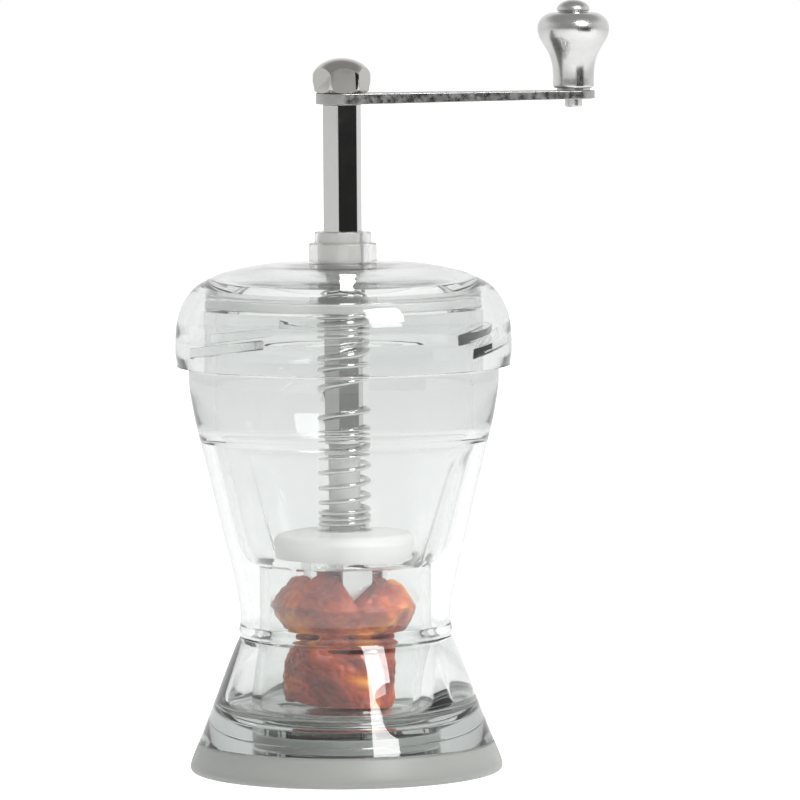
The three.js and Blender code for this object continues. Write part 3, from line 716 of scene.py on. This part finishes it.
WIRE_R = 0.5
SPRING_R = 4.85
CLOSED_PITCH = 1.1
SPRING_PITCHES = [1.1, 1.5, 3, 3.4, 3.4, 3.3, 2.6, 2.3, 2.4, 3.6, 5.2, 3.1, 2.7, 2.6, 2.6, 1.8]


def return_spring():
    free = SPRING_TOP - SPRING_BOTTOM - 2 * WIRE_R - 2 * CLOSED_PITCH
    scale = free / sum(SPRING_PITCHES)
    pitches = [CLOSED_PITCH] + [p * scale for p in SPRING_PITCHES] + [CLOSED_PITCH]
    per_turn, sides = 40, 12
    corners = []
    total = len(pitches) * per_turn
    for i in range(total + 1):
        turns = i / per_turn
        z = SPRING_BOTTOM + WIRE_R + sum(p * min(max(turns - k, 0), 1) for k, p in enumerate(pitches))
        angle = TURN * turns
        for k in range(sides):
            a = TURN * k / sides
            r = SPRING_R + WIRE_R * math.cos(a)
            corners.append((r * math.cos(angle), r * math.sin(angle), z + WIRE_R * math.sin(a)))
    faces = [list(range(sides)), [total * sides + k for k in range(sides)][::-1]]
    for i in range(total):
        for k in range(sides):
            n = (k + 1) % sides
            faces.append([i * sides + k, i * sides + n, (i + 1) * sides + n, (i + 1) * sides + k])
    return to_mesh("spring_wire", corners, faces, 60)


def drive_shaft():
    bar = bevel(extruded("bar", hexagon(HEX_FLATS), upright, HEX_BOTTOM, ARM_BOTTOM - 0.05), 0.16)
    square = polygon(4, TENON_SIDE / math.sqrt(2), 45)
    tenon = bevel(extruded("tenon", square, upright, ARM_BOTTOM - 1, ARM_TOP - 0.2), 0.15)
    stud_r, stud_top = 2.45, ARM_TOP + 4
    stud_side = [(0, ARM_BOTTOM), (stud_r, ARM_BOTTOM), (stud_r, stud_top), (0, stud_top)]
    stud = turned("stud", stud_side, sides=48)
    return merged("shaft_bar", [bar, tenon, stud])


def shaft_stem():
    top = HEX_BOTTOM + 0.02
    end = CLAW_TOP - CLAW_SHEET - 2.5
    outline = rounded([(0, top), (STEM_R, top), (STEM_R, end, 0.3), (0, end)])
    return turned("shaft_stem", outline, sides=64)


def pusher():
    radius, edge = 14.3, 2.0
    outline = (
        rounded([(STEM_R + 0.15, HEX_BOTTOM - 0.1), (HUB_R, HEX_BOTTOM - 0.1, 0.3), (HUB_R, PUSHER_TOP, 0.5)])
        + arc(radius - edge, PUSHER_TOP - edge, edge, edge, 90, 0, 12)
        + rounded([(radius, PUSHER_BOTTOM, 0.4), (STEM_R + 0.15, PUSHER_BOTTOM)])
    )
    return turned("pusher_disc", outline, sides=160)


def claw_plate():
    """Cross of sheet steel with four saw-toothed claws bent down from its ends."""
    half = CLAW_WIDTH / 2
    inner = CLAW_R - CLAW_SHEET
    shoulder = CLAW_TIP + 4
    root = CLAW_TOP - CLAW_SHEET / 2
    outline = rounded([
        (-half, root), (-half, shoulder, 0.5), (-half + CLAW_TIP_IN, CLAW_TIP, 0.3), (half, shoulder, 0.5),
        (half, root),
    ])

    def outward(u, v, depth):
        return (depth, u, v)

    claw = extruded("claw", outline, outward, inner, CLAW_R)
    bar = extruded("bar", rectangle(-CLAW_R + 0.02, CLAW_R - 0.02, -half, half), upright,
                   CLAW_TOP - CLAW_SHEET, CLAW_TOP)
    plate = boolean(bar, [spun(bar, 90)] + [spun(claw, 90 * k) for k in range(4)], "UNION")
    hole_side = 2.9
    hole = extruded("hole", polygon(4, hole_side / math.sqrt(2), 45), upright, 0, 90)
    return bevel(boolean(plate, [hole], "DIFFERENCE"), 0.12, 2)


# ---- crank ----
def crank_arm():
    steps = 32
    outline = []
    for k in range(steps + 1):
        angle = math.radians(90 + 180 * k / steps)
        outline.append((HUB_END_R * math.cos(angle), HUB_END_R * math.sin(angle)))
    for k in range(steps + 1):
        angle = math.radians(-90 + 180 * k / steps)
        outline.append((ARM_REACH + TIP_R * math.cos(angle), TIP_R * math.sin(angle)))

    def thinned(u, v, depth):
        share = min(max((u - HUB_END_R) / (ARM_REACH - TIP_R - HUB_END_R), 0.0), 1.0)
        middle = (ARM_BOTTOM + ARM_TOP) / 2
        return (u, v, middle + (depth - middle) * (1 - share * (1 - ARM_TIP_THICK / ARM_HUB_THICK)))

    plate = extruded("arm_plate", outline, thinned, ARM_BOTTOM, ARM_TOP)
    below, above = 120, 150  # clear of the arm on both sides, so that the holes go through
    hole_side = 5.3
    tenon_hole = extruded("hole", polygon(4, hole_side / math.sqrt(2), 45), upright, below, above)
    round_hole = [(ARM_REACH + u, v) for u, v in polygon(32, PIN_NECK_R + 0.1)]
    pin_hole = extruded("hole", round_hole, upright, below, above)
    return bevel(boolean(plate, [tenon_hole, pin_hole], "DIFFERENCE"), 0.3, 4)


def cap_nut():
    bottom = low("cap_nut").z
    corner = NUT_FLATS / math.sqrt(3)
    height = high("cap_nut").z - bottom
    envelope = turned("envelope", (
        rounded([(0, bottom), (corner - 0.8, bottom), (corner, bottom + 0.7, 0.3)])
        + arc(0, bottom + 2.9, corner + 0.1, height - 2.9, 0, 90, 24)
    ), sides=120)
    turn = -11
    prism = extruded("prism", hexagon(NUT_FLATS, turn), upright, bottom - 1, bottom + 12)
    shape = boolean(envelope, [prism], "INTERSECT")
    bore_r, start, end = 2.55, bottom - 1, bottom + 4.6
    bore = turned("bore", [(0, start), (bore_r, start), (bore_r, end), (0, end)], sides=48)
    return boolean(shape, [bore], "DIFFERENCE")


def knob_pin():
    arm_under = ARM_BOTTOM + (ARM_HUB_THICK - ARM_TIP_THICK) / 2
    head = KNOB_BOTTOM + KNOB_HEIGHT + 0.1
    outline = (
        rounded([(0, PIN_BOTTOM), (1.8, PIN_BOTTOM, 0.4), (1.8, arm_under - 0.05)])
        + [(PIN_NECK_R, arm_under - 0.05), (PIN_NECK_R, KNOB_BOTTOM - 0.45), (PIN_R, KNOB_BOTTOM - 0.45),
           (PIN_R, head), (3.0, head)]
        + arc(0, head + 0.4, 3.3, PIN_TOP - head - 0.4, 0, 90, 16)
    )
    return turned("pin_turned", outline, sides=64, centre=(ARM_REACH, 0))


def knob():
    bore = PIN_R + 0.15
    side = spline([(3.9, 0), (4.15, 0.4), (4.1, 2), (4.2, 4), (4.5, 5.6), (5.1, 7.2), (6, 8.7), (6.8, 10.1),
                   (7.2, 11.7), (7.05, 13), (6.35, 14.1), (5.2, 14.9), (4, 15.2)])
    outline = [(r, z + KNOB_BOTTOM) for r, z in [(bore, 0.0)] + side + [(bore, KNOB_HEIGHT)]]
    return turned("knob_grip", outline, sides=120, centre=(ARM_REACH, 0), sharp=60)


# ---- the load ----
def shrivelled(name, outline, lumps, seed, lowest, highest):
    """A dried fruit: a turned blank with lobes, then folds and wrinkles pushed in along its normals."""
    reach_limit = CHAMBER_R - FLESH_GAP

    def lumpy(r, z, angle):
        waves = [size * math.cos(count * (angle - math.radians(phase))) for count, size, phase in lumps]
        return r * (1 + sum(waves))

    mesh = turned(name, spline(outline, 14), sides=220, warp=lumpy)
    offset = Vector((seed, seed * 1.7, -seed))
    mesh.update()
    for vertex, normal in [(v, v.normal.copy()) for v in mesh.vertices]:
        p = vertex.co / MM
        folds = noise.fractal(p * 0.14 + offset, 0.9, 2.1, 4)
        near, far = noise.voronoi(p * 0.13 + offset)[0][:2]
        creases = abs(noise.noise(p * 0.42 + offset)) - 0.25
        grain = noise.fractal(p * 1.6 + offset, 0.8, 2.0, 3)
        dent = 0.5 + 0.6 * max(folds, -0.7) - 0.7 * min(creases, 0.18) + 0.07 * grain
        vertex.co -= normal * (dent - 1.5 * (min(far - near, 0.7) - 0.35)) * MM
        vertex.co.z = min(max(vertex.co.z, lowest * MM), highest * MM)
        reach = math.hypot(vertex.co.x, vertex.co.y) / MM
        if reach > reach_limit:
            vertex.co.xy *= reach_limit / reach
    mesh.update()
    shade(mesh, 80)
    return mesh


def upper_chilli():
    outline = [(0, 25.3), (7.5, 25.3), (9.8, 25.9), (11.2, 27.2), (12.5, 29.4), (14, 32.2), (14.7, 33.9),
               (13.4, 36), (11.8, 37.8), (9.2, 39.4), (6, 40.6), (0, 41)]
    lumps = [(2, 0.05, -18), (3, 0.03, 40), (5, 0.02, 10)]
    mesh = shrivelled("chilli_flesh", outline, lumps, seed=3.0, lowest=25.55, highest=42)
    clear_front_claw(mesh)
    return mesh


def clear_front_claw(mesh):
    """Pushes the flesh in behind the claw on the -Y side, along the claw's own saw-tooth outline."""
    half = CLAW_WIDTH / 2 + 0.35
    tip_x = CLAW_TIP_IN - CLAW_WIDTH / 2
    behind = CLAW_R - CLAW_SHEET - 0.5
    for vertex in mesh.vertices:
        x, y, z = vertex.co / MM
        slope = 2.4 if x < tip_x else 0.93
        if abs(x) < half and y < -behind and z > CLAW_TIP - 0.5 + slope * abs(x - tip_x):
            vertex.co.y = -behind * MM


def lower_chilli():
    outline = [(0, 11.2), (8.4, 11.2), (10.3, 11.8), (11.1, 13.6), (11.5, 16), (11.7, 18.6), (11.7, 21.6),
               (11.2, 24), (9.6, 25.4), (0, 25.7)]
    lumps = [(1, 0.06, 150), (3, 0.04, 70), (4, 0.02, 20)]
    return shrivelled("chilli_flesh", outline, lumps, seed=11.0, lowest=11.35, highest=25.42)


# ---- pieces on their bodies ----
PIECES = [
    ("body_shell", mill_body, ACRYLIC, "housing", "clear_acrylic", "mill_body"),
    ("foot_flare", flared_foot, ACRYLIC, "housing", "clear_acrylic", "flared_foot"),
    ("cap_cup", base_cap, SHADE_GREY, "cap", "smoke_plastic", "base_cap"),
    ("gasket_ring", lid_gasket, SILICONE, "gasket", "silicone", "lid_gasket"),
    ("lid_shell", lid, ACRYLIC, "lid", "clear_acrylic", "lid"),
    ("bush_sleeve", drive_bush, FROSTED, "bush", "frosted_plastic", "drive_bush"),
    ("collar_ring", bush_collar, FROSTED, "bush", "frosted_plastic", "bush_collar"),
    ("shaft_bar", drive_shaft, CHROME, "plunger", "chromed_steel", "drive_shaft"),
    ("shaft_stem", shaft_stem, BRIGHTENED_STEM, "plunger", "satin_steel", None),
    ("pusher_disc", pusher, MILKY, "plunger", "frosted_plastic", "pusher"),
    ("claw_crown", claw_plate, ROLLED, "plunger", "blade_steel", "claw_plate"),
    ("arm_plate", crank_arm, WORN, "plunger", "chromed_steel", "crank_arm"),
    ("acorn_nut", cap_nut, DARK_CHROME, "plunger", "chromed_steel", "cap_nut"),
    ("pin_turned", knob_pin, SATIN, "plunger", "satin_steel", "knob_pin"),
    ("knob_grip", knob, TURNED, "knob", "knob_steel", "knob"),
    ("chilli_speared", upper_chilli, CHILLI, "plunger", "dried_chilli", "chilli_upper"),
    ("chilli_resting", lower_chilli, CHILLI, "housing", "dried_chilli", "chilli_lower"),
]
for name, make, material, body, slot, node in PIECES:
    add_piece(name, make(), material, body, node, flat_faces=material is not CHILLI)

spring = add_piece("spring_wire", return_spring(), SPRING, "bush", "return_spring",
                   flat_faces=False)
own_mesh(spring)

# CAD nodes whose own shape shows: rounded edges and a finish
KEPT_NODES = {
    "blade_carrier": ACRYLIC,
    "blade_disc": ROLLED,
    "blade_screw_back": SATIN,
    "blade_screw_front": SATIN,
    "spring_washer": SATIN,
    "claw_nut": SATIN,
    "knob_washer": SATIN,
}
for node, material in KEPT_NODES.items():
    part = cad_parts[node]
    part.data.materials.clear()
    part.data.materials.append(material)
    soften = part.modifiers.new("soft_edges", "BEVEL")
    soften.width = 0.08 * MM
    soften.segments = 2
    soften.limit_method = "ANGLE"
    soften.angle_limit = math.radians(40)
    even_shading(part)
    shade(part.data, 40)


# ---- camera, at the angle the mill is seen from ----
CAMERA_TURN = -18.0  # degrees round the mill; 0 looks along +Y
CAMERA_AWAY = 1.4
CAMERA_HEIGHT = 0.183
FRAME_WIDTH = 0.160  # what the frame's width takes in, at the mill
TARGET_RIGHT = 0.0112
TARGET_HEIGHT = 0.0744
ROLL = -0.4


def camera_ray(turn_degrees):
    """Unit vector from the mill towards a camera at that turn."""
    angle = math.radians(turn_degrees)
    return Vector((math.sin(angle), -math.cos(angle), 0))


def make_camera():
    data = bpy.data.cameras.new("camera")
    camera = bpy.data.objects.new("camera", data)
    bpy.context.scene.collection.objects.link(camera)
    bpy.context.scene.camera = camera
    towards = camera_ray(CAMERA_TURN)
    right = Vector((-towards.y, towards.x, 0))
    target = right * TARGET_RIGHT + Vector((0, 0, TARGET_HEIGHT))
    camera.location = right * TARGET_RIGHT + towards * CAMERA_AWAY + Vector((0, 0, CAMERA_HEIGHT))
    view = (target - camera.location).to_track_quat("-Z", "Y")
    camera.rotation_mode = "QUATERNION"
    camera.rotation_quaternion = view @ Matrix.Rotation(math.radians(ROLL), 4, "Z").to_quaternion()
    data.sensor_width = 36.0
    data.lens = 36.0 * (target - camera.location).length / FRAME_WIDTH
    data.clip_start = 0.05
    data.clip_end = 50


# ---- studio ----
FRONT_LIGHT = 0.35  # the world's strength on the camera's side of the mill
BACK_LIGHT = 1.0
CEILING_LIGHT = 0.4
BACK_FADE = (-1.0, 0.5)  # from front to back, as the cosine from straight behind the mill
CEILING_FADE = (0.4, 0.8)  # upwards, as the sine of the height above the horizon
FLOOR_GLOW = 0.42
FLOOR_SIDE = 8.0
FLOOR_DROP = 0.0002  # keeps the sheet clear of the mill's underside


def emitter(name, strength):
    material = bpy.data.materials.new(name)
    material.use_nodes = True
    tree = material.node_tree
    tree.nodes.clear()
    output = tree.nodes.new("ShaderNodeOutputMaterial")
    light = tree.nodes.new("ShaderNodeEmission")
    light.inputs["Strength"].default_value = strength
    light.inputs["Color"].default_value = (1, 1, 1, 1)
    tree.links.new(light.outputs[0], output.inputs["Surface"])
    return material


def sheet(name, width, height, material):
    """A flat rectangle that isn't part of the mill."""
    mesh = bpy.data.meshes.new(name)
    w, h = width / 2, height / 2
    mesh.from_pydata([(-w, -h, 0), (w, -h, 0), (w, h, 0), (-w, h, 0)], [], [[0, 1, 2, 3]])
    mesh.materials.append(material)
    result = bpy.data.objects.new(name, mesh)
    bpy.context.scene.collection.objects.link(result)
    return result


def card(name, turn_degrees, elevation, away, width, height, material):
    """A sheet facing the mill, hidden from the camera and casting no shadow, but seen in reflections."""
    angle = math.radians(elevation)
    direction = camera_ray(turn_degrees) * math.cos(angle) + Vector((0, 0, math.sin(angle)))
    panel = sheet(name, width, height, material)
    panel.location = Vector((0, 0, 0.08)) + direction * away
    panel.rotation_mode = "QUATERNION"
    panel.rotation_quaternion = direction.to_track_quat("Z", "Y")
    panel.visible_camera = False
    panel.visible_shadow = False
    return panel


def make_world():
    """White to the camera. Other rays find it bright behind the mill, dimmer in front and overhead."""
    world = bpy.data.worlds.new("studio")
    bpy.context.scene.world = world
    world.use_nodes = True
    tree = world.node_tree
    background = tree.nodes["Background"]
    background.inputs["Color"].default_value = (1, 1, 1, 1)
    place = tree.nodes.new("ShaderNodeTexCoord").outputs["Generated"]

    def fade(source, ends, start, finish):
        node = tree.nodes.new("ShaderNodeMapRange")
        node.interpolation_type = "SMOOTHSTEP"
        for socket, value in zip(("From Min", "From Max", "To Min", "To Max"), (*ends, start, finish)):
            node.inputs[socket].default_value = value
        tree.links.new(source, node.inputs["Value"])
        return node.outputs["Result"]

    def mixed(share, usual, other):
        """The "usual" strength where share is 0, and the number "other" where it is 1."""
        node = tree.nodes.new("ShaderNodeMix")
        node.data_type = "FLOAT"
        node.inputs[3].default_value = other
        tree.links.new(share, node.inputs[0])
        tree.links.new(usual, node.inputs[2])
        return node.outputs[0]

    behind = tree.nodes.new("ShaderNodeVectorMath")
    behind.operation = "DOT_PRODUCT"
    behind.inputs[1].default_value = -camera_ray(CAMERA_TURN)
    tree.links.new(place, behind.inputs[0])
    parts = tree.nodes.new("ShaderNodeSeparateXYZ")
    tree.links.new(place, parts.inputs[0])
    around = fade(behind.outputs["Value"], BACK_FADE, FRONT_LIGHT, BACK_LIGHT)
    overhead = fade(parts.outputs["Z"], CEILING_FADE, 0.0, 1.0)
    seen = tree.nodes.new("ShaderNodeLightPath").outputs["Is Camera Ray"]
    strength = mixed(seen, mixed(overhead, around, CEILING_LIGHT), 1.0)
    tree.links.new(strength, background.inputs["Strength"])


def make_floor():
    """Plain paper, the same all over: white to the camera, and glowing less to other rays."""
    material = bpy.data.materials.new("floor_paper")
    material.use_nodes = True
    tree = material.node_tree
    shader = tree.nodes["Principled BSDF"]
    shader.inputs["Base Color"].default_value = (0.9, 0.9, 0.9, 1)
    shader.inputs["Roughness"].default_value = 0.9
    shader.inputs["Emission Color"].default_value = (1, 1, 1, 1)
    path = tree.nodes.new("ShaderNodeLightPath")
    glow = tree.nodes.new("ShaderNodeMapRange")
    glow.inputs["To Min"].default_value = FLOOR_GLOW
    glow.inputs["To Max"].default_value = 1.0
    tree.links.new(path.outputs["Is Camera Ray"], glow.inputs["Value"])
    tree.links.new(glow.outputs["Result"], shader.inputs["Emission Strength"])
    sheet("floor", FLOOR_SIDE, FLOOR_SIDE, material).location.z = -FLOOR_DROP


make_camera()
make_world()
make_floor()
black = emitter("black_flag", 0.03)
soft = emitter("softbox", 16.0)
card("softbox_right", CAMERA_TURN + 35, 42, 1.0, 0.36, 0.45, soft)
flag = card("flag_right", CAMERA_TURN + 40, 2, 0.5, 0.40, 0.24, black)
flag.visible_transmission = False  # it darkens reflections and isn't seen through the acrylic

bpy.context.scene.view_settings.view_transform = "Standard"
